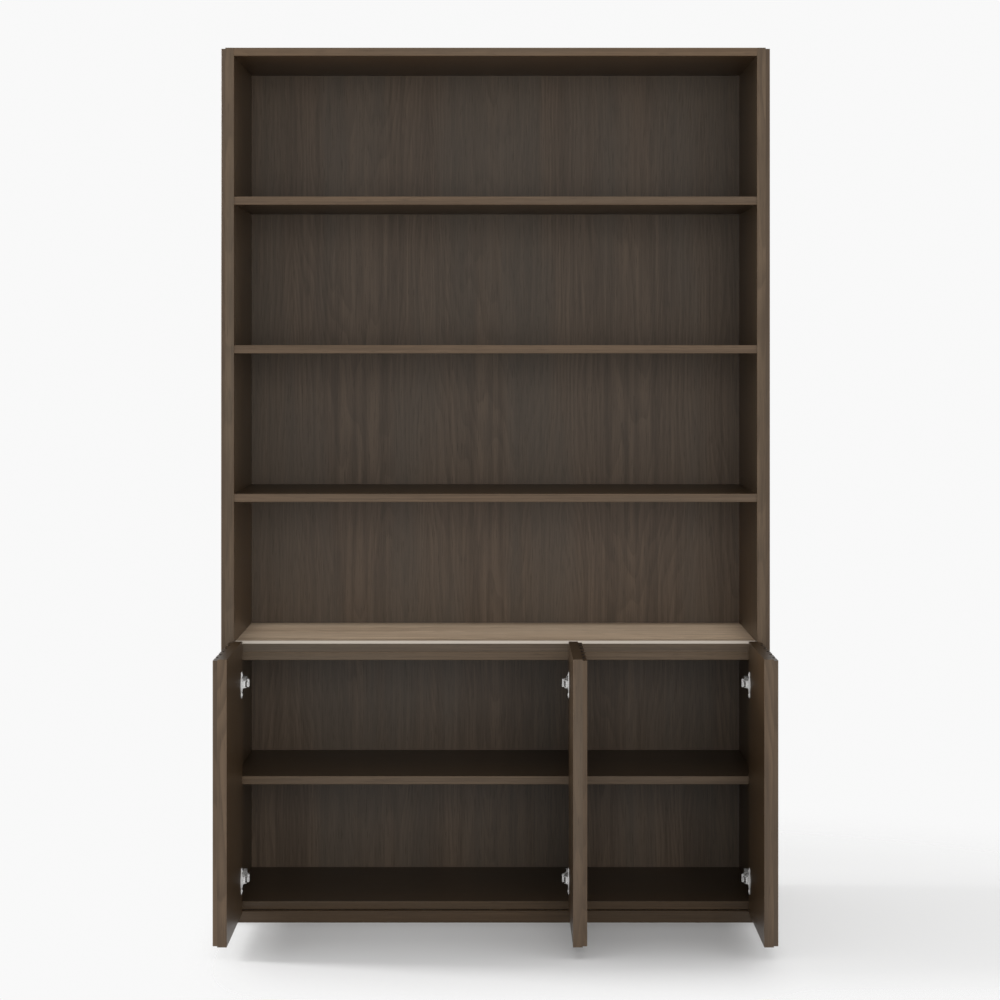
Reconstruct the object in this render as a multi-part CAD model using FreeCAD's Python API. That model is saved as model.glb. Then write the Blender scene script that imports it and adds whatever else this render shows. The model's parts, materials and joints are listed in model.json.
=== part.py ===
import FreeCAD, Part
import os

# Bookcase with three slatted cabinet doors, in millimetres.
# X runs to the right, Y to the back, Z up. The origin is on the floor under the middle of the case.
# The doors are written open, as the bookcase is shown.

# Case
CASE_WIDTH = 1219.0
CASE_DEPTH = 483.0
CASE_HEIGHT = 1946.5
SIDE_THICKNESS = 19.0
BOARD_THICKNESS = 18.0
PARTITION_THICKNESS = 18.0
BACK_THICKNESS = 6.0
BACK_INSET = 2.0
BACK_SEAM = 0.5
EDGE_EASE = 0.8

# Slat layer on the doors and on the outer sides
SLAT_THICKNESS = 9.5
SLAT_GAP = 16.0
SLAT_END_INSET = 2.5
SLAT_EASE = 1.5
SLATS_PER_SIDE = 8
SLATS_PER_DOOR = 6

# Levels and set-backs
BASE_HEIGHT = 25.0
BASE_RAIL_THICKNESS = 18.0
BASE_RAIL_SETBACK = 17.0
COUNTER_TOP = 625.0
COUNTER_THICKNESS = 25.0
COUNTER_BEVEL = 6.0
COUNTER_RAIL_HEIGHT = 17.5
COUNTER_RAIL_THICKNESS = 20.0
CABINET_SETBACK = 40.0
CABINET_SHELF_TOP = 322.0
CABINET_SHELF_SETBACK = 44.0
CABINET_SHELF_END_GAP = 1.0
UPPER_SHELVES = 3
UPPER_SHELF_SETBACK = 4.0

# Doors
DOOR_THICKNESS = 20.0
DOOR_GAP = 2.0
DOOR_BOTTOM_GAP = 1.0
DOOR_TOP_RISE = 3.0
MEETING_GAP = 3.0
OPEN_ANGLE = 90.0
OPEN_PROTRUSION = 19.0
OPEN_FRONT_GAP = 2.0

# Concealed hinges
HINGE_UPPER_DROP = 94.0
HINGE_LOWER_RISE = 74.0
CUP_RADIUS = 17.5
CUP_WALL = 2.0
CUP_DEPTH = 12.0
CUP_FLOOR = 1.5
CUP_EDGE_DISTANCE = 22.5
CUP_CLEARANCE = 0.1
FLANGE_THICKNESS = 1.5
FLANGE_HEIGHT = 57.0
FLANGE_EAR_WIDTH = 18.0
FLANGE_EAR_CHAMFER = 3.0
FLANGE_RIM = 1.5
FORK_PLATE = 1.5
FORK_HEIGHT = 16.4
FORK_ROOT_GAP = 4.0
FORK_ROOT_WIDTH = 4.0
FORK_SHOULDER = 1.6
FORK_REACH = 9.4
FORK_WEB_REACH = 6.3
FORK_TIP_EDGE = 1.0
FORK_TIP_WIDTH = 4.0
ARM_HEIGHT = 16.4
ARM_SHEET = 1.4
ARM_FRONT = 10.0
ARM_BACK = 86.0
ARM_NOSE_OUTER = 33.0
ARM_NOSE_WIDTH = 5.0
ARM_NOSE_BACK = 22.0
ARM_WEB_FRONT = 18.0
ARM_BODY_OUTER = 22.5
ARM_BODY_INNER = 14.0
ARM_BODY_FRONT = 40.0
ARM_PIN_RADIUS = 1.5
ARM_PIN_FRONT = 12.5
LINK_THICKNESS = 8.8
LINK_HALF_WIDTH = 1.2
LINK_EYE_RADIUS = 2.3
LINK_LENGTH = 13.8
PIN_CLEARANCE = 0.05
SIDE_PLAY = 0.4
PLATE_THICKNESS = 2.0
PLATE_WING_HEIGHT = 52.0
PLATE_WING_WIDTH = 16.0
PLATE_WING_FRONT = 46.0
PLATE_WING_CHAMFER = 5.0
PLATE_RIB_FRONT = 42.0

# Tongue joints and shelf pins
TONGUE_THICKNESS = 8.0
TONGUE_DEPTH = 7.0
TONGUE_STOP = 25.0
SHELF_PIN_RADIUS = 2.5
SHELF_PIN_IN_WALL = 8.5
SHELF_PIN_REACH = 8.0
SHELF_PIN_CLEARANCE = 0.05
SHELF_PIN_INSET = 50.0

# Planes that several pieces share
FRONT = -CASE_DEPTH / 2
REAR = CASE_DEPTH / 2
OUTER = CASE_WIDTH / 2
PANEL_OUTER = OUTER - SLAT_THICKNESS
INNER = PANEL_OUTER - SIDE_THICKNESS
BACK_FACE = REAR - BACK_INSET - BACK_THICKNESS
COUNTER_UNDER = COUNTER_TOP - COUNTER_THICKNESS
BOTTOM_TOP = BASE_HEIGHT + BOARD_THICKNESS
TOP_UNDER = CASE_HEIGHT - BOARD_THICKNESS
CABINET_FRONT = FRONT + CABINET_SETBACK
GAPS_ACROSS = 4 * DOOR_GAP + MEETING_GAP
DOOR_WIDTH = (2 * INNER - PARTITION_THICKNESS - GAPS_ACROSS) / 3
PARTITION_LEFT = -INNER + 2 * DOOR_WIDTH + 2 * DOOR_GAP + MEETING_GAP
PARTITION_RIGHT = PARTITION_LEFT + PARTITION_THICKNESS
PARTITION_MIDDLE = (PARTITION_LEFT + PARTITION_RIGHT) / 2
DOOR_BOTTOM = BASE_HEIGHT + DOOR_BOTTOM_GAP
DOOR_TOP = COUNTER_TOP + DOOR_TOP_RISE
BAY_HEIGHT = (TOP_UNDER - COUNTER_TOP - UPPER_SHELVES * BOARD_THICKNESS) / (UPPER_SHELVES + 1)
HINGE_LEVELS = (DOOR_TOP - HINGE_UPPER_DROP, DOOR_BOTTOM + HINGE_LOWER_RISE)

# A door's axis, measured from its wall's inner front corner: inwards, then backwards
AXIS_IN = ((OPEN_PROTRUSION - DOOR_THICKNESS) + (DOOR_GAP - OPEN_FRONT_GAP)) / 2
AXIS_BACK = ((DOOR_GAP - OPEN_FRONT_GAP) - (OPEN_PROTRUSION - DOOR_THICKNESS)) / 2

# Each door: the wall face that carries its hinges, and the way inwards from that wall
DOORS = {
    "left": (-INNER, 1),
    "middle": (PARTITION_LEFT, -1),
    "right": (INNER, -1),
}

pieces = {}


def vec(x, y, z):
    return FreeCAD.Vector(x, y, z)


def block(x0, x1, y0, y1, z0, z1):
    return Part.makeBox(x1 - x0, y1 - y0, z1 - z0, vec(x0, y0, z0))


def plate(outline, z0, z1):
    """A flat plate with an outline in X and Y."""
    points = [vec(x, y, z0) for x, y in outline]
    face = Part.Face(Part.makePolygon(points + points[:1]))
    return face.extrude(vec(0, 0, z1 - z0))


def upright_plate(outline, x0, x1):
    """A plate with an outline in Y and Z."""
    points = [vec(x0, y, z) for y, z in outline]
    face = Part.Face(Part.makePolygon(points + points[:1]))
    return face.extrude(vec(x1 - x0, 0, 0))


def board(x0, x1, y0, y1, z0, z1, top_ease=EDGE_EASE):
    """A level board along X with eased front edges."""
    outline = [
        (y0 + top_ease, z1),
        (y1, z1),
        (y1, z0),
        (y0 + EDGE_EASE, z0),
        (y0, z0 + EDGE_EASE),
        (y0, z1 - top_ease),
    ]
    return upright_plate(outline, x0, x1)


def slat(start, end, base, direction, z0, z1):
    """An upright slat from start to end along X, standing from Y=base, with its face edges eased."""
    face = base + direction * SLAT_THICKNESS
    shoulder = face - direction * SLAT_EASE
    outline = [
        (start, base),
        (start, shoulder),
        (start + SLAT_EASE, face),
        (end - SLAT_EASE, face),
        (end, shoulder),
        (end, base),
    ]
    return plate(outline, z0, z1)


def slat_row(length, count, base, direction, z0, z1):
    width = (length - (count - 1) * SLAT_GAP) / count
    starts = [i * (width + SLAT_GAP) for i in range(count)]
    return [slat(s, s + width, base, direction, z0, z1) for s in starts]


def group(solids):
    return Part.makeCompound(solids)


def place_on_wall(shape, wall, inward):
    """Move a piece drawn from a wall's inner front corner to the wall that carries it."""
    if inward < 0:
        shape = shape.mirror(vec(0, 0, 0), vec(1, 0, 0))
    return shape.translated(vec(wall, FRONT, 0))


def swing_open(shape):
    """Turn a door piece from closed to open."""
    turned = shape.copy()
    turned.rotate(vec(AXIS_IN, AXIS_BACK, 0), vec(0, 0, 1), -OPEN_ANGLE)
    return turned


# Carcass boards

def make_sides():
    for name, sign in (("left", -1), ("right", 1)):
        outline = [
            (sign * PANEL_OUTER, FRONT),
            (sign * (INNER + EDGE_EASE), FRONT),
            (sign * INNER, FRONT + EDGE_EASE),
            (sign * INNER, REAR),
            (sign * PANEL_OUTER, REAR),
        ]
        pieces[name + "_side_panel"] = plate(outline, 0, CASE_HEIGHT)
        row = slat_row(CASE_DEPTH, SLATS_PER_SIDE, 0, 1, SLAT_END_INSET, CASE_HEIGHT - SLAT_END_INSET)
        row = group(row)
        row.rotate(vec(0, 0, 0), vec(0, 0, 1), 90)
        if sign > 0:
            row = row.mirror(vec(0, 0, 0), vec(1, 0, 0))
        pieces[name + "_side_slats"] = row.translated(vec(sign * PANEL_OUTER, FRONT, 0))


def make_boards():
    pieces["top_board"] = board(-INNER, INNER, FRONT, REAR, TOP_UNDER, CASE_HEIGHT)
    shelf_front = FRONT + UPPER_SHELF_SETBACK
    for i in range(UPPER_SHELVES):
        under = COUNTER_TOP + BAY_HEIGHT + i * (BAY_HEIGHT + BOARD_THICKNESS)
        pieces["upper_shelf_%d" % (i + 1)] = board(
            -INNER, INNER, shelf_front, BACK_FACE, under, under + BOARD_THICKNESS)
    pieces["counter_board"] = board(
        -INNER, INNER, CABINET_FRONT, BACK_FACE, COUNTER_UNDER, COUNTER_TOP, COUNTER_BEVEL)
    pieces["bottom_board"] = board(-INNER, INNER, CABINET_FRONT, BACK_FACE, BASE_HEIGHT, BOTTOM_TOP)
    rail_bottom = COUNTER_UNDER - COUNTER_RAIL_HEIGHT
    rail_back = CABINET_FRONT + COUNTER_RAIL_THICKNESS
    for name, x0, x1 in (("left", -INNER, PARTITION_LEFT), ("right", PARTITION_RIGHT, INNER)):
        pieces["counter_rail_" + name] = board(x0, x1, CABINET_FRONT, rail_back, rail_bottom, COUNTER_UNDER)


def make_partition():
    """The partition stands on the bottom board and its nose reaches the front plane between the doors."""
    outline = [
        (PARTITION_LEFT + EDGE_EASE, FRONT),
        (PARTITION_RIGHT - EDGE_EASE, FRONT),
        (PARTITION_RIGHT, FRONT + EDGE_EASE),
        (PARTITION_RIGHT, CABINET_FRONT),
        (PARTITION_LEFT, CABINET_FRONT),
        (PARTITION_LEFT, FRONT + EDGE_EASE),
    ]
    nose = plate(outline, BASE_HEIGHT, COUNTER_UNDER)
    body = block(PARTITION_LEFT, PARTITION_RIGHT, CABINET_FRONT, BACK_FACE, BOTTOM_TOP, COUNTER_UNDER)
    pieces["partition"] = nose.fuse(body).removeSplitter()


def make_base():
    rail_front = FRONT + BASE_RAIL_SETBACK
    rail_back = rail_front + BASE_RAIL_THICKNESS
    back_rail_front = BACK_FACE - BASE_RAIL_THICKNESS
    half = BASE_RAIL_THICKNESS / 2
    pieces["base_front_rail"] = board(-INNER, INNER, rail_front, rail_back, 0, BASE_HEIGHT)
    pieces["base_back_rail"] = block(-INNER, INNER, back_rail_front, BACK_FACE, 0, BASE_HEIGHT)
    pieces["base_centre_rail"] = block(-half, half, rail_back, back_rail_front, 0, BASE_HEIGHT)


def make_backs():
    back_rear = BACK_FACE + BACK_THICKNESS
    seam = (COUNTER_TOP + COUNTER_UNDER) / 2
    pieces["lower_back_panel"] = block(-INNER, INNER, BACK_FACE, back_rear, 0, seam - BACK_SEAM / 2)
    pieces["upper_back_panel"] = block(-INNER, INNER, BACK_FACE, back_rear, seam + BACK_SEAM / 2, TOP_UNDER)


def make_cabinet_shelves():
    front = FRONT + CABINET_SHELF_SETBACK
    under = CABINET_SHELF_TOP - BOARD_THICKNESS
    for name, x0, x1 in (("wide", -INNER, PARTITION_LEFT), ("narrow", PARTITION_RIGHT, INNER)):
        left = x0 + CABINET_SHELF_END_GAP
        right = x1 - CABINET_SHELF_END_GAP
        pieces["cabinet_shelf_" + name] = board(left, right, front, BACK_FACE, under, CABINET_SHELF_TOP)


# Joints inside the carcass

def make_tongues():
    """A tongue on each end of every fixed board and of the partition, in a groove stopped at both ends."""
    half = TONGUE_THICKNESS / 2

    def join(board_name, panel_name, tongue):
        pieces[board_name] = pieces[board_name].fuse(tongue).removeSplitter()
        pieces[panel_name] = pieces[panel_name].cut(tongue)

    boards = ["top_board", "counter_board", "bottom_board"]
    boards += ["upper_shelf_%d" % (i + 1) for i in range(UPPER_SHELVES)]
    for name in boards:
        box = pieces[name].BoundBox
        middle = (box.ZMin + box.ZMax) / 2
        front = box.YMin + TONGUE_STOP
        back = box.YMax - TONGUE_STOP
        for panel, sign in (("left", -1), ("right", 1)):
            x0, x1 = sorted((sign * INNER, sign * (INNER + TONGUE_DEPTH)))
            join(name, panel + "_side_panel", block(x0, x1, front, back, middle - half, middle + half))
    front = CABINET_FRONT + TONGUE_STOP
    back = BACK_FACE - TONGUE_STOP
    x0 = PARTITION_MIDDLE - half
    x1 = PARTITION_MIDDLE + half
    for name, z0 in (("bottom_board", BOTTOM_TOP - TONGUE_DEPTH), ("counter_board", COUNTER_UNDER)):
        join("partition", name, block(x0, x1, front, back, z0, z0 + TONGUE_DEPTH))


def make_shelf_pins():
    """Plain round pins under the ends of each cabinet shelf."""
    pins = []
    level = CABINET_SHELF_TOP - BOARD_THICKNESS - SHELF_PIN_RADIUS
    front = FRONT + CABINET_SHELF_SETBACK + SHELF_PIN_INSET
    ends = (
        ("left_side_panel", -INNER, 1),
        ("partition", PARTITION_LEFT, -1),
        ("partition", PARTITION_RIGHT, 1),
        ("right_side_panel", INNER, -1),
    )
    for wall_name, x, inward in ends:
        along = vec(inward, 0, 0)
        for y in (front, BACK_FACE - SHELF_PIN_INSET):
            root = vec(x, y, level) - along * SHELF_PIN_IN_WALL
            length = SHELF_PIN_IN_WALL + SHELF_PIN_REACH
            pins.append(Part.makeCylinder(SHELF_PIN_RADIUS, length, root, along))
            hole = Part.makeCylinder(SHELF_PIN_RADIUS + SHELF_PIN_CLEARANCE, SHELF_PIN_IN_WALL, root, along)
            pieces[wall_name] = pieces[wall_name].cut(hole)
    pieces["shelf_pins"] = group(pins)


# Hinges, drawn from the wall's inner front corner: X inwards, Y backwards, Z from the hinge's middle

CUP_X = DOOR_GAP + CUP_EDGE_DISTANCE
VOID_RADIUS = CUP_RADIUS - CUP_WALL
CHEEK_INNER = ARM_HEIGHT / 2 - ARM_SHEET
PIN_X = ARM_NOSE_OUTER - ARM_NOSE_WIDTH / 2


def upright(radius, x, y, z0, z1):
    return Part.makeCylinder(radius, z1 - z0, vec(x, y, z0))


def hinge_cup():
    """Cup, flange and fork in the closed door's position."""
    back = DOOR_THICKNESS
    along = vec(0, -1, 0)
    rim = back + FLANGE_THICKNESS
    body = Part.makeCylinder(CUP_RADIUS, CUP_DEPTH, vec(CUP_X, back, 0), along)
    flange = Part.makeCylinder(CUP_RADIUS + FLANGE_RIM, FLANGE_THICKNESS, vec(CUP_X, rim, 0), along)
    ear_half = FLANGE_EAR_WIDTH / 2
    ear_reach = FLANGE_HEIGHT / 2
    cut = FLANGE_EAR_CHAMFER
    quarter = [(ear_half, ear_reach - cut), (ear_half - cut, ear_reach)]
    outline = quarter + [(-x, z) for x, z in reversed(quarter)]
    outline += [(-x, -z) for x, z in outline]
    points = [vec(CUP_X + x, back, z) for x, z in outline]
    ears = Part.Face(Part.makePolygon(points + points[:1])).extrude(vec(0, FLANGE_THICKNESS, 0))
    void_depth = CUP_DEPTH - CUP_FLOOR + FLANGE_THICKNESS
    void = Part.makeCylinder(VOID_RADIUS, void_depth, vec(CUP_X, rim, 0), along)
    return body.fuse([flange, ears]).cut(void).fuse(hinge_fork()).removeSplitter()


def hinge_fork():
    """Two cheeks and a web that stand in the cup and reach back past the door's edge to the link."""
    floor = DOOR_THICKNESS - CUP_DEPTH + CUP_FLOOR / 2
    tip_x = DOOR_GAP + FORK_TIP_EDGE
    tip_y = DOOR_THICKNESS + FORK_REACH
    web_y = DOOR_THICKNESS + FORK_WEB_REACH
    root_near = CUP_X - VOID_RADIUS + FORK_ROOT_GAP
    root_far = root_near + FORK_ROOT_WIDTH
    clear = DOOR_THICKNESS + FLANGE_THICKNESS + SIDE_PLAY
    outline = [
        (root_near, floor),
        (root_far, floor),
        (root_far, clear + FORK_SHOULDER),
        (tip_x + FORK_TIP_WIDTH, tip_y),
        (tip_x, tip_y),
        (tip_x, clear),
        (root_near, clear),
    ]
    half = FORK_HEIGHT / 2
    cheeks = [plate(outline, low, low + FORK_PLATE) for low in (-half, half - FORK_PLATE)]
    return cheeks + [block(tip_x, tip_x + FORK_PLATE, clear, web_y, -half, half)]


def hinge_arm():
    """A cranked U-shaped arm with its open side to the wall, the link's pin across its nose."""
    nose_inner = ARM_NOSE_OUTER - ARM_NOSE_WIDTH
    cheek = [
        (nose_inner, ARM_FRONT),
        (ARM_NOSE_OUTER, ARM_FRONT),
        (ARM_NOSE_OUTER, ARM_NOSE_BACK),
        (ARM_BODY_OUTER, ARM_BODY_FRONT),
        (ARM_BODY_OUTER, ARM_BACK),
        (ARM_BODY_INNER, ARM_BACK),
        (ARM_BODY_INNER, ARM_BODY_FRONT),
        (nose_inner, ARM_NOSE_BACK),
    ]
    crank = [
        (ARM_NOSE_OUTER, ARM_WEB_FRONT),
        (ARM_NOSE_OUTER, ARM_NOSE_BACK),
        (ARM_BODY_OUTER, ARM_BODY_FRONT),
        (ARM_BODY_OUTER, ARM_BACK),
    ]
    half = ARM_HEIGHT / 2
    arm = plate(cheek, CHEEK_INNER, half).fuse(plate(cheek, -half, -CHEEK_INNER))
    web = plate(crank + [(x - ARM_SHEET, y) for x, y in reversed(crank)], -half, half)
    pin = upright(ARM_PIN_RADIUS, PIN_X, ARM_PIN_FRONT, -half, half)
    return arm.fuse([web, pin]).removeSplitter()


def hinge_plate():
    """A mounting plate with two wings and a raised rib that the arm straddles and lies on."""
    wing_back = PLATE_WING_FRONT + PLATE_WING_WIDTH
    half = PLATE_WING_HEIGHT / 2
    cut = PLATE_WING_CHAMFER
    outline = [
        (PLATE_WING_FRONT, -half + cut),
        (PLATE_WING_FRONT, half - cut),
        (PLATE_WING_FRONT + cut, half),
        (wing_back - cut, half),
        (wing_back, half - cut),
        (wing_back, -half + cut),
        (wing_back - cut, -half),
        (PLATE_WING_FRONT + cut, -half),
    ]
    wings = upright_plate(outline, 0, PLATE_THICKNESS)
    rib_half = CHEEK_INNER - SIDE_PLAY
    rib = block(0, ARM_BODY_OUTER - ARM_SHEET, PLATE_RIB_FRONT, ARM_BACK, -rib_half, rib_half)
    return wings.fuse(rib).removeSplitter()


def hinge_link():
    """The link, which reaches forwards from the arm's pin into the fork when the door is open."""
    half = LINK_THICKNESS / 2
    tip = ARM_PIN_FRONT - LINK_LENGTH
    bar = block(PIN_X - LINK_HALF_WIDTH, PIN_X + LINK_HALF_WIDTH, tip, ARM_PIN_FRONT, -half, half)
    bar = bar.fuse(upright(LINK_HALF_WIDTH, PIN_X, tip, -half, half))
    bar = bar.fuse(upright(LINK_EYE_RADIUS, PIN_X, ARM_PIN_FRONT, -half, half))
    bar = bar.cut(upright(ARM_PIN_RADIUS + PIN_CLEARANCE, PIN_X, ARM_PIN_FRONT, -half, half))
    return bar.removeSplitter()


# Doors

def make_door(name, wall, inward):
    near = DOOR_GAP
    far = DOOR_GAP + DOOR_WIDTH
    outline = [
        (near, 0),
        (far, 0),
        (far, DOOR_THICKNESS - EDGE_EASE),
        (far - EDGE_EASE, DOOR_THICKNESS),
        (near + EDGE_EASE, DOOR_THICKNESS),
        (near, DOOR_THICKNESS - EDGE_EASE),
    ]
    panel = plate(outline, DOOR_BOTTOM, DOOR_TOP)
    slat_bottom = DOOR_BOTTOM + SLAT_END_INSET
    slat_top = DOOR_TOP - SLAT_END_INSET
    row = slat_row(DOOR_WIDTH, SLATS_PER_DOOR, 0, -1, slat_bottom, slat_top)
    slats = group(row).translated(vec(near, 0, 0))
    cups, arms, plates, links = [], [], [], []
    for level in HINGE_LEVELS:
        lift = vec(0, 0, level)
        bore = Part.makeCylinder(
            CUP_RADIUS + CUP_CLEARANCE,
            CUP_DEPTH + CUP_CLEARANCE,
            vec(CUP_X, DOOR_THICKNESS, level),
            vec(0, -1, 0),
        )
        panel = panel.cut(bore)
        cups.append(hinge_cup().translated(lift))
        arms.append(hinge_arm().translated(lift))
        plates.append(hinge_plate().translated(lift))
        links.append(hinge_link().translated(lift))
    turning = {"panel": panel, "slats": slats, "hinge_cups": group(cups)}
    standing = {"hinge_arms": group(arms), "hinge_plates": group(plates), "hinge_links": group(links)}
    for part, shape in turning.items():
        pieces["%s_door_%s" % (name, part)] = place_on_wall(swing_open(shape), wall, inward)
    for part, shape in standing.items():
        pieces["%s_door_%s" % (name, part)] = place_on_wall(shape, wall, inward)


make_sides()
make_boards()
make_partition()
make_base()
make_backs()
make_cabinet_shelves()
make_tongues()
make_shelf_pins()
for door_name, (wall_face, way_in) in DOORS.items():
    make_door(door_name, wall_face, way_in)

os.makedirs("parts", exist_ok=True)
for node, shape in pieces.items():
    shape.exportStep("parts/%s.step" % node)
print(len(pieces), "pieces; door width %.2f" % DOOR_WIDTH)
print("door axis from its wall's corner: in %.3f, back %.3f" % (AXIS_IN, AXIS_BACK))
print("link pin from the corner: in %.3f, back %.3f" % (PIN_X, ARM_PIN_FRONT))
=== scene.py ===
import bmesh
import bpy
import json
import math
from collections import namedtuple
from mathutils import Matrix, Vector


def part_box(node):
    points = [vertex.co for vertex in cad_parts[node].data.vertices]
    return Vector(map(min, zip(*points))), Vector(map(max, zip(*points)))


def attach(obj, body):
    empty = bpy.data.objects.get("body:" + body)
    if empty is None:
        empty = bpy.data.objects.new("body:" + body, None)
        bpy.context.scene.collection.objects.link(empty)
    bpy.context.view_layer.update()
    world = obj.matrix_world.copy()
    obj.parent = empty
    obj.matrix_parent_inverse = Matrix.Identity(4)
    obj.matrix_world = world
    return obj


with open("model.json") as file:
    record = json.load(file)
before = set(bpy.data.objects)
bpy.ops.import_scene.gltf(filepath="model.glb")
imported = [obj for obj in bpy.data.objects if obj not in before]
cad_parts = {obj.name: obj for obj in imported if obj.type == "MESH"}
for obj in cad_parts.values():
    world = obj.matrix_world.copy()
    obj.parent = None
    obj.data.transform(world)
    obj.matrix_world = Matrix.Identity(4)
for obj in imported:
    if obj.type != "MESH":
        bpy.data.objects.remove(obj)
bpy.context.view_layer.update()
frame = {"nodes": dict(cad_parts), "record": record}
nodes = frame["nodes"]

# Everything is in metres. The front of the case faces -Y.

AreaLight = namedtuple("AreaLight", "place target size power")
Noise = namedtuple("Noise", "along across detail roughness", defaults=(2.0, 0.5))
Veneer = namedtuple("Veneer", "grain across leaf streaks figure")
BoardLook = namedtuple("BoardLook", "edge_tones broad_tones shift members")
Bump = namedtuple("Bump", "strength distance")

# Camera: level, straight on, with a shifted lens
CAMERA_DISTANCE = 6.477
CAMERA_HEIGHT = 1.2751
LENS = 105.0
SENSOR = 36.0
SHIFT_X = 0.0045
SHIFT_Y = -0.150

# Stage: the floor fades by place into the pale background, and lights the case less than it shows
BACKGROUND = (0.945, 0.945, 0.945, 1.0)
WORLD_COLOUR = (1.0, 1.0, 1.0, 1.0)
WORLD_LIGHT = 0.78
FLOOR_COLOUR = (0.95, 0.95, 0.95, 1.0)
FLOOR_BOUNCE = (0.45, 0.45, 0.45, 1.0)
FLOOR_ROUGHNESS = 0.9
FLOOR_HALF = 9.0
FLOOR_FADE_CENTRE = (0.35, -0.30, 0.0)
FLOOR_FADE = (0.9, 1.8)
FLOOR_FRONT_FADE = (-1.2, -0.6)
FLOOR_LEFT_FADE = (-0.67, -0.43)
FLOOR_RIGHT_FADE = (0.49, 0.64)
FLOOR_RIGHT_SHARE = 0.52

# Lights, with their powers in watts
KEY_LEFT = AreaLight((-5.0, 0.33, 2.2), (0.0, 0.0, 0.3), (1.15, 1.0), 140.0)
FRONT_FILL = AreaLight((0.6, -7.5, 1.6), (0.0, 0.0, 1.0), (3.0, 2.4), 165.0)

# A narrow lamp under the lowest open shelf, for the bright counter. Its spread is in degrees
COUNTER_LAMP_GAP = 0.01
COUNTER_LAMP_SIZE = (1.15, 0.38)
COUNTER_LAMP_POWER = 0.84
COUNTER_LAMP_SPREAD = 30.0

# Slats, measured as on the solids
SLAT_GAP = 0.016
SLATS_PER_SIDE = 8
SLATS_PER_DOOR = 6
ROW_END = 0.001

# Hinge screws, measured as on the solids
SCREW_RADIUS = 0.0035
SCREW_HEIGHT = 0.0012
CUP_EDGE = 0.0225
FLANGE_THICKNESS = 0.0015
EAR_SCREW_OFFSET = 0.022
ARM_HALF_HEIGHT = 0.0082
ARM_BODY_OUTER = 0.0225
ARM_SCREW_BACKS = (0.044, 0.066)
PLATE_THICKNESS = 0.002
PLATE_SCREW_BACK = 0.012
PLATE_SCREW_OFFSET = 0.0185

# Screws that hold the back panels
BACK_SCREW_RADIUS = 0.0032
BACK_SCREW_HEIGHT = 0.0008
BACK_SCREWS_ACROSS = 6
BACK_SCREW_MARGIN = 0.06
BACK_SCREW_BOARDS = ("upper_shelf_1", "upper_shelf_2", "upper_shelf_3", "bottom_board")

# Form of a screw's head: the cross recess in shares of its radius and height, and the fall of the dome
SCREW_RINGS = 9
SCREW_SEGMENTS = 32
RECESS_HALF = 0.14
RECESS_REACH = 0.62
RECESS_DEPTH = 0.7
DOME_DROP = 0.75
DOME_POWER = 4
WELD_SHARE = 1e-4

# Veneer tones
WALNUT = {
    "dark": (0.046, 0.029, 0.016, 1.0),
    "middle": (0.104, 0.069, 0.040, 1.0),
    "light": (0.154, 0.106, 0.066, 1.0),
    "grey": (0.086, 0.065, 0.044, 1.0),
}
SHADED_WALNUT = {
    "dark": (0.040, 0.028, 0.018, 1.0),
    "middle": (0.105, 0.073, 0.049, 1.0),
    "light": (0.161, 0.115, 0.078, 1.0),
    "grey": (0.083, 0.066, 0.049, 1.0),
}
# Painted shade: darker tones for the broad faces of boards and doors, and for the fronts of the bottom board
# and base rail
SHADE_PAINTED_WALNUT = {
    "dark": (0.032, 0.017, 0.007, 1.0),
    "middle": (0.070, 0.040, 0.018, 1.0),
    "light": (0.107, 0.066, 0.035, 1.0),
    "grey": (0.058, 0.038, 0.021, 1.0),
}
# The counter's top: partly a paler veneer, partly painted light from above
PALE_AND_PAINTED_LIGHT_WALNUT = {
    "dark": (0.160, 0.110, 0.070, 1.0),
    "middle": (0.430, 0.320, 0.222, 1.0),
    "light": (0.680, 0.535, 0.390, 1.0),
    "grey": (0.420, 0.330, 0.240, 1.0),
}
# Painted shade, near black, on the panel faces behind the slats and on the slats' sides in the grooves
GROOVE_SHADE = (0.012, 0.009, 0.007, 1.0)
# Tops of the door panels and slats: dark end grain, darkened further as painted shade
END_GRAIN_AND_SHADE = (0.045, 0.028, 0.015, 1.0)
# Painted highlight along the counter's front bevel
BEVEL_HIGHLIGHT = (0.560, 0.500, 0.430, 1.0)


def shade(tones, red, green, blue):
    """The same four tones, each colour scaled."""
    return {key: (r * red, g * green, b * blue, 1.0) for key, (r, g, b, _) in tones.items()}


DOOR_WALNUT = shade(WALNUT, 0.95, 0.92, 0.91)
# Painted shade: the next tones darken the side panels' broad faces and each door's inner face, the right
# door's a little less
SIDE_SHADE_WALNUT = shade(WALNUT, 0.94, 0.87, 0.78)
COUNTER_WALNUT = shade(WALNUT, 0.88, 0.91, 0.97)
DOOR_INSIDE_SHADES = {
    "left": SHADE_PAINTED_WALNUT,
    "middle": SHADE_PAINTED_WALNUT,
    "right": shade(SHADE_PAINTED_WALNUT, 1.16, 1.13, 1.08),
}

# Veneers: grain axis, axis across it, width of a leaf, streaks to the metre, and depth of the figure
BACK_VENEER = Veneer("Z", "X", 0.162, 70.0, 0.28)
SIDE_VENEER = Veneer("Z", "Y", 0.241, 70.0, 0.42)
DOOR_VENEER = Veneer("Z", "Y", 0.190, 70.0, 0.42)
COUNTER_VENEER = Veneer("X", "Y", 0.230, 70.0, 0.42)
EDGE_VENEER = Veneer("X", "Y", 0.230, 260.0, 0.12)

# Where each piece lies in the veneer's noise
BACK_SHIFT = 4.1
RAIL_SHIFT = 2.7
SIDE_SHIFT = 1.3
SIDE_SLAT_SHIFT = 11.7
DOOR_SHIFT = 7.9
DOOR_SLAT_SHIFT = 9.3
COUNTER_SHIFT = 5.0
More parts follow.
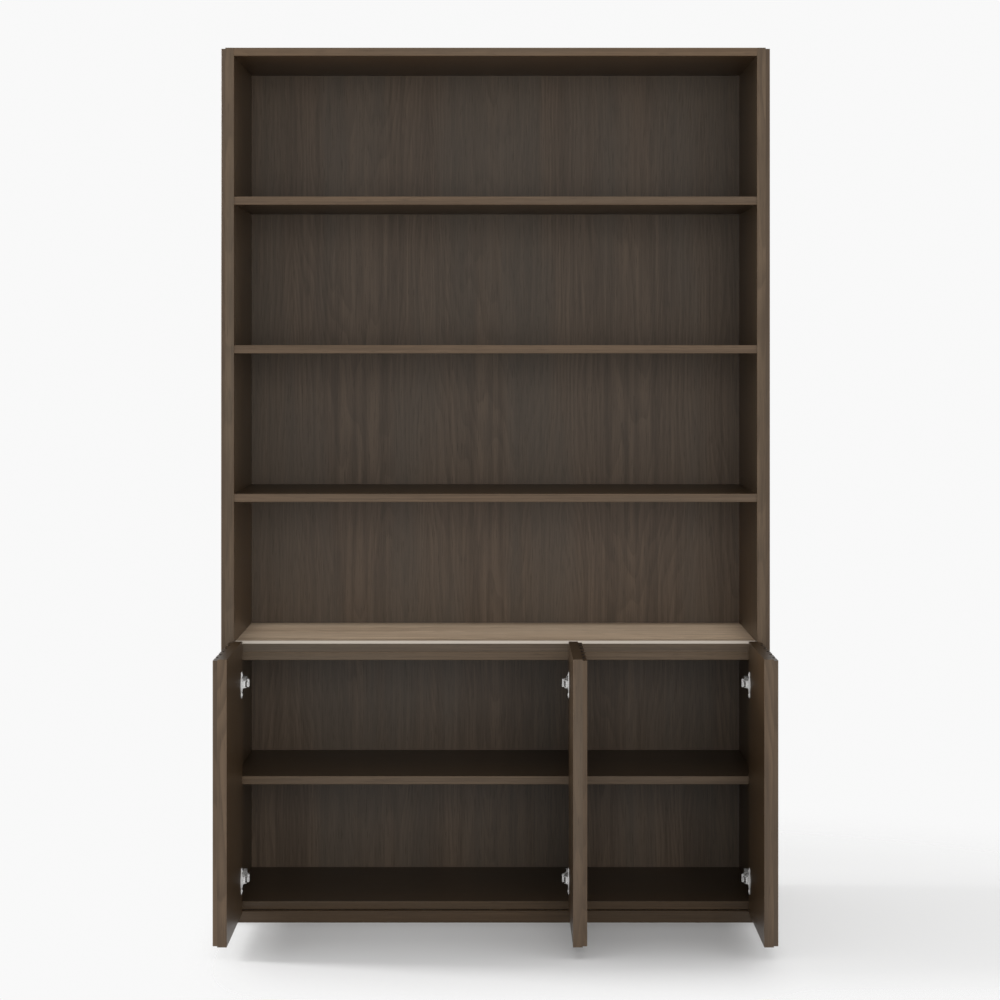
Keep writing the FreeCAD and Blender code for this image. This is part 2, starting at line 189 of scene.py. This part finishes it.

# Boards: tones of the edges, tones of the broad faces, place in the veneer, and the nodes. The tones paint
# light and shade board by board: the broad faces are darker as painted shade, the fronts of the bottom board
# and base rail are darker as painted shade under the doors, and the top board's edges are lighter as painted
# light
BOARD_LOOKS = {
    "top_walnut": BoardLook(
        shade(WALNUT, 1.16, 1.09, 1.02), shade(SHADE_PAINTED_WALNUT, 1.06, 0.96, 0.88), 2.7,
        ("top_board",)),
    "shelf_walnut": BoardLook(
        shade(WALNUT, 1.02, 0.98, 0.96), shade(SHADE_PAINTED_WALNUT, 0.81, 0.78, 0.71), 2.7,
        ("upper_shelf_1", "upper_shelf_2", "upper_shelf_3")),
    "cabinet_walnut": BoardLook(
        WALNUT, shade(SHADE_PAINTED_WALNUT, 0.74, 0.78, 0.87), 2.7,
        ("cabinet_shelf_wide", "cabinet_shelf_narrow")),
    "base_walnut": BoardLook(
        shade(SHADE_PAINTED_WALNUT, 1.00, 1.05, 1.12), shade(SHADE_PAINTED_WALNUT, 0.74, 0.78, 0.87), 3.9,
        ("bottom_board",)),
    "base_rail_walnut": BoardLook(
        shade(SHADE_PAINTED_WALNUT, 0.93, 0.97, 1.04), SHADE_PAINTED_WALNUT, 4.6,
        ("base_front_rail",)),
}

# Figure of the veneer: the arches, and the slow climb and drop in tone across each ring
FIGURE_RINGS = 11.0
ARCH_POWER = 2.0
ARCH_BEND = 0.9
ARCH_SLOPE = 0.42
RING_CLIMB = (0.15, 0.86)
RING_DROP = (0.90, 1.0)

# Noises by their scales along and across the grain, the steps cut from them, and how much each shows.
# The middle tone calms the streaks
WANDER = Noise(1.6, 11.0, roughness=0.45)
PATCHES = Noise(1.1, 11.0)
PATCH_SHIFT = 3.0
PATCH_STEP = (0.42, 0.66)
PATCH_SHARE = 0.6
STREAK_ALONG = 1.8
STREAK_STEP = (0.3, 0.72)
STREAK_CALM = 0.64
FIBRES = Noise(9.0, 420.0, 3.0, 0.6)
FIBRE_STEP = (0.45, 0.75)
FIBRE_SHARE = 0.30
PORES = Noise(26.0, 760.0, 1.0)
PORE_STEP = (0.60, 0.70)
PORE_SHARE = 0.45
WEAR_STEP = (0.15, 0.45)
WEAR_SHARE = 0.45
SLAT_TONE_SHARE = 0.35

# Satin lacquer
LACQUER_SHINE = 0.36
END_SHINE = 0.06
LACQUER_ROUGHNESS = 0.30
FIBRE_ROUGHNESS = 0.14
PORE_DEPTH = 0.8
GRAIN_BUMP = Bump(0.16, 0.0005)

# Steps in how squarely a face looks along an axis: a square face, the counter's top, and its bevel
SQUARE_STEP = (0.85, 0.95)
COUNTER_TOP_STEP = (0.8, 0.95)
COUNTER_BEVEL_STEP = (0.3, 0.5)

# Nickel plate, near white and little metallic: its white colour is partly a painted reflection of the bright
# surroundings
NICKEL_REFLECTION_TONES = ((0.93, 0.92, 0.91, 1.0), (0.98, 0.98, 0.97, 1.0))
NICKEL_METALLIC = 0.2
NICKEL_ROUGHNESS = 0.16
BRUSH_ROUGHNESS = 0.18
SMUDGES = Noise(180.0, 180.0, 3.0)
BRUSHING = Noise(300.0, 4000.0)
BRUSH_BUMP = Bump(0.05, 0.0002)

# Sockets of a Mix node for colours
MIX_INPUTS = (0, 6, 7)
MIX_OUTPUT = 2


# Shader helpers

def new_material(name):
    material = bpy.data.materials.new(name)
    material.use_nodes = True
    tree = material.node_tree
    return material, tree, tree.nodes["Principled BSDF"]


def add(tree, kind, **values):
    """A node with its properties set by name."""
    node = tree.nodes.new(kind)
    for key, value in values.items():
        setattr(node, key, value)
    return node


def feed(tree, sockets, values):
    """Set each socket to a number or colour, or link it to another node's output."""
    for socket, value in zip(sockets, values):
        if isinstance(value, (int, float, tuple)):
            socket.default_value = value
        else:
            tree.links.new(value, socket)


def math_node(tree, operation, *values):
    node = add(tree, "ShaderNodeMath", operation=operation)
    feed(tree, node.inputs, values)
    return node.outputs["Value"]


def mix_colour(tree, factor, first, second):
    node = add(tree, "ShaderNodeMix", data_type="RGBA")
    feed(tree, [node.inputs[index] for index in MIX_INPUTS], (factor, first, second))
    return node.outputs[MIX_OUTPUT]


def tint(tree, colour, tone, mask, share):
    """A colour with a share of a tone where a mask is 1."""
    return mix_colour(tree, math_node(tree, "MULTIPLY", mask, share), colour, tone)


def mix_shaders(tree, factor, first, second, output):
    """Show the first shader where the factor is 0 and the second where it is 1."""
    mix = add(tree, "ShaderNodeMixShader")
    feed(tree, mix.inputs, (factor, first, second))
    tree.links.new(mix.outputs["Shader"], tree.nodes[output].inputs["Surface"])


def ramp(tree, value, low, high):
    """A smooth step from 0 at low to 1 at high."""
    node = add(tree, "ShaderNodeMapRange", interpolation_type="SMOOTHSTEP")
    node.inputs["From Min"].default_value = low
    node.inputs["From Max"].default_value = high
    tree.links.new(value, node.inputs["Value"])
    return node.outputs["Result"]


def coordinates(tree, kind):
    """One of the object's own texture coordinates."""
    return add(tree, "ShaderNodeTexCoord").outputs[kind]


def split_axes(tree, vector):
    """X, Y and Z of a vector."""
    split = add(tree, "ShaderNodeSeparateXYZ")
    tree.links.new(vector, split.inputs["Vector"])
    return split.outputs


def leaf_space(tree, veneer):
    """The frame's own metres, folded across the grain into mirrored veneer leaves."""
    axes = split_axes(tree, coordinates(tree, "Object"))
    join = add(tree, "ShaderNodeCombineXYZ")
    for axis in "XYZ":
        value = axes[axis]
        if axis == veneer.across:
            value = math_node(tree, "PINGPONG", value, veneer.leaf)
        tree.links.new(value, join.inputs[axis])
    return join.outputs["Vector"]


def stretched_noise(tree, space, noise, grain, shift=0.0):
    """Noise drawn out along the grain axis."""
    scale = [noise.across, noise.across, noise.across]
    scale["XYZ".index(grain)] = noise.along
    mapping = add(tree, "ShaderNodeMapping")
    mapping.inputs["Location"].default_value = (shift, shift, shift)
    mapping.inputs["Scale"].default_value = scale
    tree.links.new(space, mapping.inputs["Vector"])
    texture = add(tree, "ShaderNodeTexNoise")
    texture.inputs["Scale"].default_value = 1.0
    texture.inputs["Detail"].default_value = noise.detail
    texture.inputs["Roughness"].default_value = noise.roughness
    tree.links.new(mapping.outputs["Vector"], texture.inputs["Vector"])
    return texture.outputs["Fac"]


def normal_axis(tree, axis):
    """How much a face looks along an axis, with its sign."""
    return split_axes(tree, coordinates(tree, "Normal"))[axis]


def facing(tree, axis, sign=0):
    """1 on faces square to an axis, on one side only where a sign is given."""
    if sign:
        look = math_node(tree, "MULTIPLY", normal_axis(tree, axis), float(sign))
    else:
        look = math_node(tree, "ABSOLUTE", normal_axis(tree, axis))
    return ramp(tree, look, *SQUARE_STEP)


def roughen(tree, shader, amount, least, detail):
    """Roughness that rises from its least with a noise."""
    tree.links.new(math_node(tree, "MULTIPLY_ADD", detail, amount, least), shader.inputs["Roughness"])


def emboss(tree, shader, height, depth):
    """A fine bump on the shader's normal."""
    bump = add(tree, "ShaderNodeBump")
    bump.inputs["Strength"].default_value = depth.strength
    bump.inputs["Distance"].default_value = depth.distance
    tree.links.new(height, bump.inputs["Height"])
    tree.links.new(bump.outputs["Normal"], shader.inputs["Normal"])


# Materials

def cathedral(tree, plain, space, veneer, shift):
    """Nested arches in each leaf: they rise slowly with the grain, bend up at its edges and wander."""
    axes = split_axes(tree, space)
    edge = math_node(tree, "DIVIDE", axes[veneer.across], veneer.leaf)
    arch = math_node(tree, "MULTIPLY", math_node(tree, "POWER", edge, ARCH_POWER), ARCH_BEND)
    slope = math_node(tree, "MULTIPLY", axes[veneer.grain], ARCH_SLOPE)
    wander = stretched_noise(tree, plain, WANDER, veneer.grain, shift)
    field = math_node(tree, "SUBTRACT", math_node(tree, "ADD", arch, wander), slope)
    rings = math_node(tree, "FRACT", math_node(tree, "MULTIPLY", field, FIGURE_RINGS))
    return math_node(tree, "SUBTRACT", ramp(tree, rings, *RING_CLIMB), ramp(tree, rings, *RING_DROP))


def wood_colour(tree, tones, veneer, shift):
    """Cathedral figure, colour patches, fibres and pores of a crown-cut veneer."""
    plain = coordinates(tree, "Object")
    space = leaf_space(tree, veneer)
    figure = cathedral(tree, plain, space, veneer, shift)
    streaks = stretched_noise(tree, space, Noise(STREAK_ALONG, veneer.streaks), veneer.grain, shift)
    patches = stretched_noise(tree, plain, PATCHES, veneer.grain, shift + PATCH_SHIFT)
    fibres = stretched_noise(tree, plain, FIBRES, veneer.grain, shift)
    pores = stretched_noise(tree, plain, PORES, veneer.grain, shift)
    pore_mask = ramp(tree, pores, *PORE_STEP)
    colour = mix_colour(tree, ramp(tree, streaks, *STREAK_STEP), tones["dark"], tones["light"])
    colour = mix_colour(tree, STREAK_CALM, colour, tones["middle"])
    colour = tint(tree, colour, tones["dark"], figure, veneer.figure)
    colour = tint(tree, colour, tones["grey"], ramp(tree, patches, *PATCH_STEP), PATCH_SHARE)
    colour = tint(tree, colour, tones["light"], ramp(tree, fibres, *FIBRE_STEP), FIBRE_SHARE)
    colour = tint(tree, colour, tones["dark"], pore_mask, PORE_SHARE)
    return colour, fibres, pore_mask


def finish_wood(tree, shader, colour, fibres, pore_mask, ends=None):
    """Satin lacquer: rougher with the fibres, with the pores just felt through it, and dull on end grain."""
    tree.links.new(colour, shader.inputs["Base Color"])
    roughen(tree, shader, FIBRE_ROUGHNESS, LACQUER_ROUGHNESS, fibres)
    height = math_node(tree, "SUBTRACT", fibres, math_node(tree, "MULTIPLY", pore_mask, PORE_DEPTH))
    emboss(tree, shader, height, GRAIN_BUMP)
    shader.inputs["Specular IOR Level"].default_value = LACQUER_SHINE
    if ends:
        shine = math_node(tree, "MULTIPLY_ADD", ends, END_SHINE - LACQUER_SHINE, LACQUER_SHINE)
        tree.links.new(shine, shader.inputs["Specular IOR Level"])


def worn_edges(tree, colour, tones, *axes):
    """Eased edges, where two axes share the normal, are rubbed a little lighter."""
    looks = [math_node(tree, "ABSOLUTE", normal_axis(tree, axis)) for axis in axes]
    shared = math_node(tree, "MULTIPLY", *looks)
    return tint(tree, colour, tones["light"], ramp(tree, shared, *WEAR_STEP), WEAR_SHARE)


def make_wood(name, veneer, shift, wear_axes, tones=WALNUT, painted_shade=None, slat_shade_side=0, end_axis=None):
    """Veneer, with painted shade in darker tones on the broad faces and on the side that carries slats, and
    dark end grain, partly painted shade, on its ends.
    """
    material, tree, shader = new_material(name)
    colour, fibres, pore_mask = wood_colour(tree, tones, veneer, shift)
    # Painted shade: faces square to the given axis take the darker tones
    if painted_shade:
        axis, shade_tones = painted_shade
        shaded_colour = wood_colour(tree, shade_tones, veneer, shift)[0]
        colour = mix_colour(tree, facing(tree, axis), colour, shaded_colour)
    # Painted shade on the panel face that carries the slats, seen through the grooves
    if slat_shade_side:
        colour = mix_colour(tree, facing(tree, "X", slat_shade_side), colour, GROOVE_SHADE)
    ends = facing(tree, end_axis) if end_axis else None
    # The ends, on the doors the panel tops, are dark end grain, partly painted shade
    if ends:
        colour = mix_colour(tree, ends, colour, END_GRAIN_AND_SHADE)
    colour = worn_edges(tree, colour, tones, *wear_axes)
    finish_wood(tree, shader, colour, fibres, pore_mask, ends)
    return material


def make_slat_wood(name, node, count, shift):
    """Walnut with its own tone on each slat of a row along Y, painted shade on the groove sides, and dark end
    grain, partly painted shade.
    """
    material, tree, shader = new_material(name)
    colour, fibres, pore_mask = wood_colour(tree, DOOR_WALNUT, DOOR_VENEER, shift)
    (_, front, _), (_, back, _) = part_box(node)
    pitch = (back - front + SLAT_GAP) / count
    along = split_axes(tree, coordinates(tree, "Object"))["Y"]
    place = math_node(tree, "DIVIDE", math_node(tree, "SUBTRACT", along, front - SLAT_GAP / 2), pitch)
    slat_tone = add(tree, "ShaderNodeTexWhiteNoise", noise_dimensions="1D")
    tree.links.new(math_node(tree, "FLOOR", place), slat_tone.inputs["W"])
    colour = tint(tree, colour, DOOR_WALNUT["dark"], slat_tone.outputs["Value"], SLAT_TONE_SHARE)
    colour = worn_edges(tree, colour, DOOR_WALNUT, "X", "Y")
    # Painted shade on the slats' sides that face into the grooves, all but the two outer ends of the row
    after_first = math_node(tree, "GREATER_THAN", along, front + ROW_END)
    before_last = math_node(tree, "LESS_THAN", along, back - ROW_END)
    between = math_node(tree, "MULTIPLY", after_first, before_last)
    groove = math_node(tree, "MULTIPLY", facing(tree, "Y"), between)
    colour = mix_colour(tree, groove, colour, GROOVE_SHADE)
    # The slats' tops are dark end grain, partly painted shade
    ends = facing(tree, "Z")
    colour = mix_colour(tree, ends, colour, END_GRAIN_AND_SHADE)
    finish_wood(tree, shader, colour, fibres, pore_mask, ends)
    return material


def make_counter_wood(name):
    """Pale on the top, partly a paler veneer and partly painted light from above, with a painted highlight on
    its bevel; walnut on the front and below.
    """
    material, tree, shader = new_material(name)
    pale_and_painted_light, fibres, pore_mask = wood_colour(tree, PALE_AND_PAINTED_LIGHT_WALNUT, COUNTER_VENEER, COUNTER_SHIFT)
    walnut = wood_colour(tree, COUNTER_WALNUT, EDGE_VENEER, COUNTER_SHIFT)[0]
    up = normal_axis(tree, "Z")
    # The bevel takes the painted highlight and the top the pale tones; faces below the bevel stay walnut
    colour = mix_colour(tree, ramp(tree, up, *COUNTER_TOP_STEP), BEVEL_HIGHLIGHT, pale_and_painted_light)
    colour = mix_colour(tree, ramp(tree, up, *COUNTER_BEVEL_STEP), walnut, colour)
    finish_wood(tree, shader, colour, fibres, pore_mask)
    return material


def make_nickel(name):
    """Bright plate, its near-white colour partly a painted reflection, a little smudged and finely brushed.
    """
    material, tree, shader = new_material(name)
    plain = coordinates(tree, "Object")
    smudge = stretched_noise(tree, plain, SMUDGES, "Z")
    brush = stretched_noise(tree, plain, BRUSHING, "Z")
    tree.links.new(mix_colour(tree, smudge, *NICKEL_REFLECTION_TONES), shader.inputs["Base Color"])
    roughen(tree, shader, BRUSH_ROUGHNESS, NICKEL_ROUGHNESS, brush)
    shader.inputs["Metallic"].default_value = NICKEL_METALLIC
    emboss(tree, shader, brush, BRUSH_BUMP)
    return material


def dress_nodes():
    """Give each CAD node a material of its own, or else that of its slot."""
    nickel = make_nickel("nickel")
    looks = {
        "board_veneer": make_wood("rail_walnut", EDGE_VENEER, RAIL_SHIFT, ("Y", "Z")),
        "side_veneer": make_wood("partition_walnut", SIDE_VENEER, SIDE_SHIFT, ("X", "Y")),
        "back_veneer": make_wood("back_walnut", BACK_VENEER, BACK_SHIFT, ("X", "Y"), SHADED_WALNUT),
        "counter_veneer": make_counter_wood("counter_top"),
        "nickel_plate": nickel,
    }
    own_looks = {}
    for name, look in BOARD_LOOKS.items():
        board = make_wood(
            name, EDGE_VENEER, look.shift, ("Y", "Z"), look.edge_tones, painted_shade=("Z", look.broad_tones))
        own_looks.update((member, board) for member in look.members)
    for name, sign in (("left", -1), ("right", 1)):
        own_looks[name + "_side_panel"] = make_wood(
            "%s_side_walnut" % name, SIDE_VENEER, SIDE_SHIFT, ("X", "Y"),
            painted_shade=("X", SIDE_SHADE_WALNUT), slat_shade_side=sign)
        own_looks[name + "_side_slats"] = make_slat_wood(
            "%s_side_slat_walnut" % name, name + "_side_slats", SLATS_PER_SIDE, SIDE_SLAT_SHIFT)
    for name, sign in (("left", -1), ("middle", 1), ("right", 1)):
        own_looks[name + "_door_panel"] = make_wood(
            "%s_door_walnut" % name, DOOR_VENEER, DOOR_SHIFT, ("X", "Y"), DOOR_WALNUT,
            painted_shade=("X", DOOR_INSIDE_SHADES[name]), slat_shade_side=sign, end_axis="Z")
        own_looks[name + "_door_slats"] = make_slat_wood(
            "%s_door_slat_walnut" % name, name + "_door_slats", SLATS_PER_DOOR, DOOR_SLAT_SHIFT)
    for sub in frame["record"]["subparts"]:
        name = sub["node"]
        mesh = nodes[name].data
        mesh.materials.clear()
        mesh.materials.append(own_looks.get(name) or looks[sub["material_slot"]])
    return nickel


# Screws

def screw_mesh(name, radius, height):
    """A low domed head with a cross recess, seated on Z=0."""
    mesh_data = bmesh.new()
    rows = []
    for ring in range(SCREW_RINGS + 1):
        share = ring / SCREW_RINGS
        row = []
        for step in range(SCREW_SEGMENTS):
            angle = 2 * math.pi * step / SCREW_SEGMENTS
            x = radius * share * math.cos(angle)
            y = radius * share * math.sin(angle)
            z = height * (1 - DOME_DROP * share ** DOME_POWER)
            near, far = sorted((abs(x), abs(y)))
            if near < radius * RECESS_HALF and far < radius * RECESS_REACH:
                z -= height * RECESS_DEPTH
            row.append(mesh_data.verts.new((x, y, z)))
        rows.append(row)
    base = [mesh_data.verts.new((v.co.x, v.co.y, 0.0)) for v in rows[-1]]
    rows.append(base)
    for inner, outer in zip(rows, rows[1:]):
        for step in range(SCREW_SEGMENTS):
            following = (step + 1) % SCREW_SEGMENTS
            mesh_data.faces.new((inner[step], outer[step], outer[following], inner[following]))
    mesh_data.faces.new(base[::-1])
    bmesh.ops.remove_doubles(mesh_data, verts=mesh_data.verts, dist=radius * WELD_SHARE)
    bmesh.ops.recalc_face_normals(mesh_data, faces=mesh_data.faces)
    mesh = bpy.data.meshes.new(name)
    mesh_data.to_mesh(mesh)
    mesh_data.free()
    return mesh


def place_screw(name, mesh, point, direction, body):
    """Seat a screw's head on a point, looking along a direction."""
    screw = bpy.data.objects.new(name, mesh)
    bpy.context.scene.collection.objects.link(screw)
    turn = Vector((0, 0, 1)).rotation_difference(Vector(direction)).to_matrix().to_4x4()
    screw.matrix_world = Matrix.Translation(Vector(point)) @ turn
    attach(screw, body)


def hinge_screws(nickel):
    """Screws in the cups' flanges, the plates' wings and the arms."""
    mesh = screw_mesh("hinge_screw", SCREW_RADIUS, SCREW_HEIGHT)
    mesh.materials.append(nickel)
    for door, inward in (("left", 1), ("middle", -1), ("right", -1)):
        side = 1 if inward > 0 else 0
        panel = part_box(door + "_door_panel")
        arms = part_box(door + "_door_hinge_arms")
        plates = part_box(door + "_door_hinge_plates")
        levels = (arms[0][2] + ARM_HALF_HEIGHT, arms[1][2] - ARM_HALF_HEIGHT)
        out = (inward, 0, 0)
        flange_x = panel[side][0] + inward * FLANGE_THICKNESS
        flange_y = panel[1][1] - CUP_EDGE
        wall_x = plates[1 - side][0]
        wing_x = wall_x + inward * PLATE_THICKNESS
        wing_y = plates[0][1] + PLATE_SCREW_BACK
        arm_x = wall_x + inward * ARM_BODY_OUTER
        for row, level in enumerate(levels, 1):
            for end, end_name in ((-1, "low"), (1, "high")):
                tag = "%s_%d_%s" % (door, row, end_name)
                flange_point = (flange_x, flange_y, level + end * EAR_SCREW_OFFSET)
                place_screw("cup_screw_" + tag, mesh, flange_point, out, door + "_door")
                wing_point = (wing_x, wing_y, level + end * PLATE_SCREW_OFFSET)
                place_screw("plate_screw_" + tag, mesh, wing_point, out, "carcass")
            for spot, back in enumerate(ARM_SCREW_BACKS, 1):
                arm_point = (arm_x, arms[0][1] + back, level)
                place_screw("arm_screw_%s_%d_%d" % (door, row, spot), mesh, arm_point, out, "carcass")


def back_screws(nickel):
    """Rows of screws through the back panels into the boards."""
    mesh = screw_mesh("back_screw", BACK_SCREW_RADIUS, BACK_SCREW_HEIGHT)
    mesh.materials.append(nickel)
    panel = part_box("upper_back_panel")
    rear = panel[1][1]
    first = panel[0][0] + BACK_SCREW_MARGIN
    step = (panel[1][0] - panel[0][0] - 2 * BACK_SCREW_MARGIN) / (BACK_SCREWS_ACROSS - 1)
    for board in BACK_SCREW_BOARDS:
        low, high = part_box(board)
        level = (low[2] + high[2]) / 2
        for i in range(BACK_SCREWS_ACROSS):
            point = (first + i * step, rear, level)
            place_screw("back_screw_%s_%d" % (board, i + 1), mesh, point, (0, 1, 0), "carcass")


# Stage, light and camera

def seen_rays(tree):
    """1 for the rays that show the stage: the camera's own, and those of gloss and glass."""
    path = add(tree, "ShaderNodeLightPath")
    rays = math_node(tree, "MAXIMUM", path.outputs["Is Camera Ray"], path.outputs["Is Glossy Ray"])
    return math_node(tree, "MAXIMUM", rays, path.outputs["Is Transmission Ray"])


def floor_share(tree):
    """How solid the floor is: near the case and under it, clear further out, in front and at the sides."""
    plain = coordinates(tree, "Object")
    distance = add(tree, "ShaderNodeVectorMath", operation="DISTANCE")
    feed(tree, distance.inputs, (plain, FLOOR_FADE_CENTRE))
    across, along = split_axes(tree, plain)[:2]
    near = math_node(tree, "SUBTRACT", 1.0, ramp(tree, distance.outputs["Value"], *FLOOR_FADE))
    near = math_node(tree, "MULTIPLY", near, ramp(tree, along, *FLOOR_FRONT_FADE))
    right = math_node(tree, "MULTIPLY", ramp(tree, across, *FLOOR_RIGHT_FADE), 1.0 - FLOOR_RIGHT_SHARE)
    sides = math_node(tree, "SUBTRACT", ramp(tree, across, *FLOOR_LEFT_FADE), right)
    low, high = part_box("bottom_board")
    under = math_node(tree, "LESS_THAN", math_node(tree, "ABSOLUTE", across), high[0])
    under = math_node(tree, "MULTIPLY", under, math_node(tree, "GREATER_THAN", along, low[1]))
    under = math_node(tree, "MULTIPLY", under, math_node(tree, "LESS_THAN", along, high[1]))
    return math_node(tree, "MAXIMUM", math_node(tree, "MULTIPLY", near, sides), under)


def make_floor():
    mesh = bpy.data.meshes.new("floor")
    corners = [(x * FLOOR_HALF, y * FLOOR_HALF, 0) for x, y in ((-1, -1), (1, -1), (1, 1), (-1, 1))]
    mesh.from_pydata(corners, [], [(0, 1, 2, 3)])
    floor = bpy.data.objects.new("floor", mesh)
    bpy.context.scene.collection.objects.link(floor)
    material, tree, shader = new_material("floor_white")
    seen = mix_colour(tree, seen_rays(tree), FLOOR_BOUNCE, FLOOR_COLOUR)
    tree.links.new(seen, shader.inputs["Base Color"])
    shader.inputs["Roughness"].default_value = FLOOR_ROUGHNESS
    shader.inputs["Specular IOR Level"].default_value = 0.0
    clear = add(tree, "ShaderNodeBsdfTransparent").outputs["BSDF"]
    mix_shaders(tree, floor_share(tree), clear, shader.outputs["BSDF"], "Material Output")
    mesh.materials.append(material)


def make_world():
    """Soft white light all round; the camera, gloss and glass see the pale background."""
    world = bpy.data.worlds.new("studio")
    bpy.context.scene.world = world
    world.use_nodes = True
    tree = world.node_tree
    light = tree.nodes["Background"]
    light.inputs["Color"].default_value = WORLD_COLOUR
    light.inputs["Strength"].default_value = WORLD_LIGHT
    seen = add(tree, "ShaderNodeBackground")
    seen.inputs["Color"].default_value = BACKGROUND
    mix_shaders(
        tree, seen_rays(tree), light.outputs["Background"], seen.outputs["Background"], "World Output")


def area_light(name, lamp):
    data = bpy.data.lights.new(name, "AREA")
    data.shape = "RECTANGLE"
    data.size, data.size_y = lamp.size
    data.energy = lamp.power
    light = bpy.data.objects.new(name, data)
    bpy.context.scene.collection.objects.link(light)
    light.location = lamp.place
    aim = Vector(lamp.target) - Vector(lamp.place)
    light.rotation_euler = aim.to_track_quat("-Z", "Y").to_euler()
    return light


def make_lights():
    area_light("key_left", KEY_LEFT)
    fill = area_light("front_fill", FRONT_FILL)
    fill.visible_glossy = False
    low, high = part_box("counter_board")
    middle = (low[1] + high[1]) / 2
    lamp_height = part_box("upper_shelf_1")[0][2] - COUNTER_LAMP_GAP
    lamp = area_light("counter_lamp", AreaLight(
        (0.0, middle, lamp_height), (0.0, middle, 0.0), COUNTER_LAMP_SIZE, COUNTER_LAMP_POWER))
    lamp.data.spread = math.radians(COUNTER_LAMP_SPREAD)
    lamp.visible_camera = False
    lamp.visible_glossy = False


def make_camera():
    """A level camera that looks along +Y."""
    data = bpy.data.cameras.new("camera")
    data.lens = LENS
    data.sensor_width = SENSOR
    data.shift_x = SHIFT_X
    data.shift_y = SHIFT_Y
    camera = bpy.data.objects.new("camera", data)
    bpy.context.scene.collection.objects.link(camera)
    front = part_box("left_side_panel")[0][1]
    camera.location = (0.0, front - CAMERA_DISTANCE, CAMERA_HEIGHT)
    camera.rotation_euler = (math.pi / 2, 0.0, 0.0)
    bpy.context.scene.camera = camera


nickel_look = dress_nodes()
hinge_screws(nickel_look)
back_screws(nickel_look)
make_floor()
make_world()
make_lights()
make_camera()
bpy.context.scene.view_settings.view_transform = "Standard"
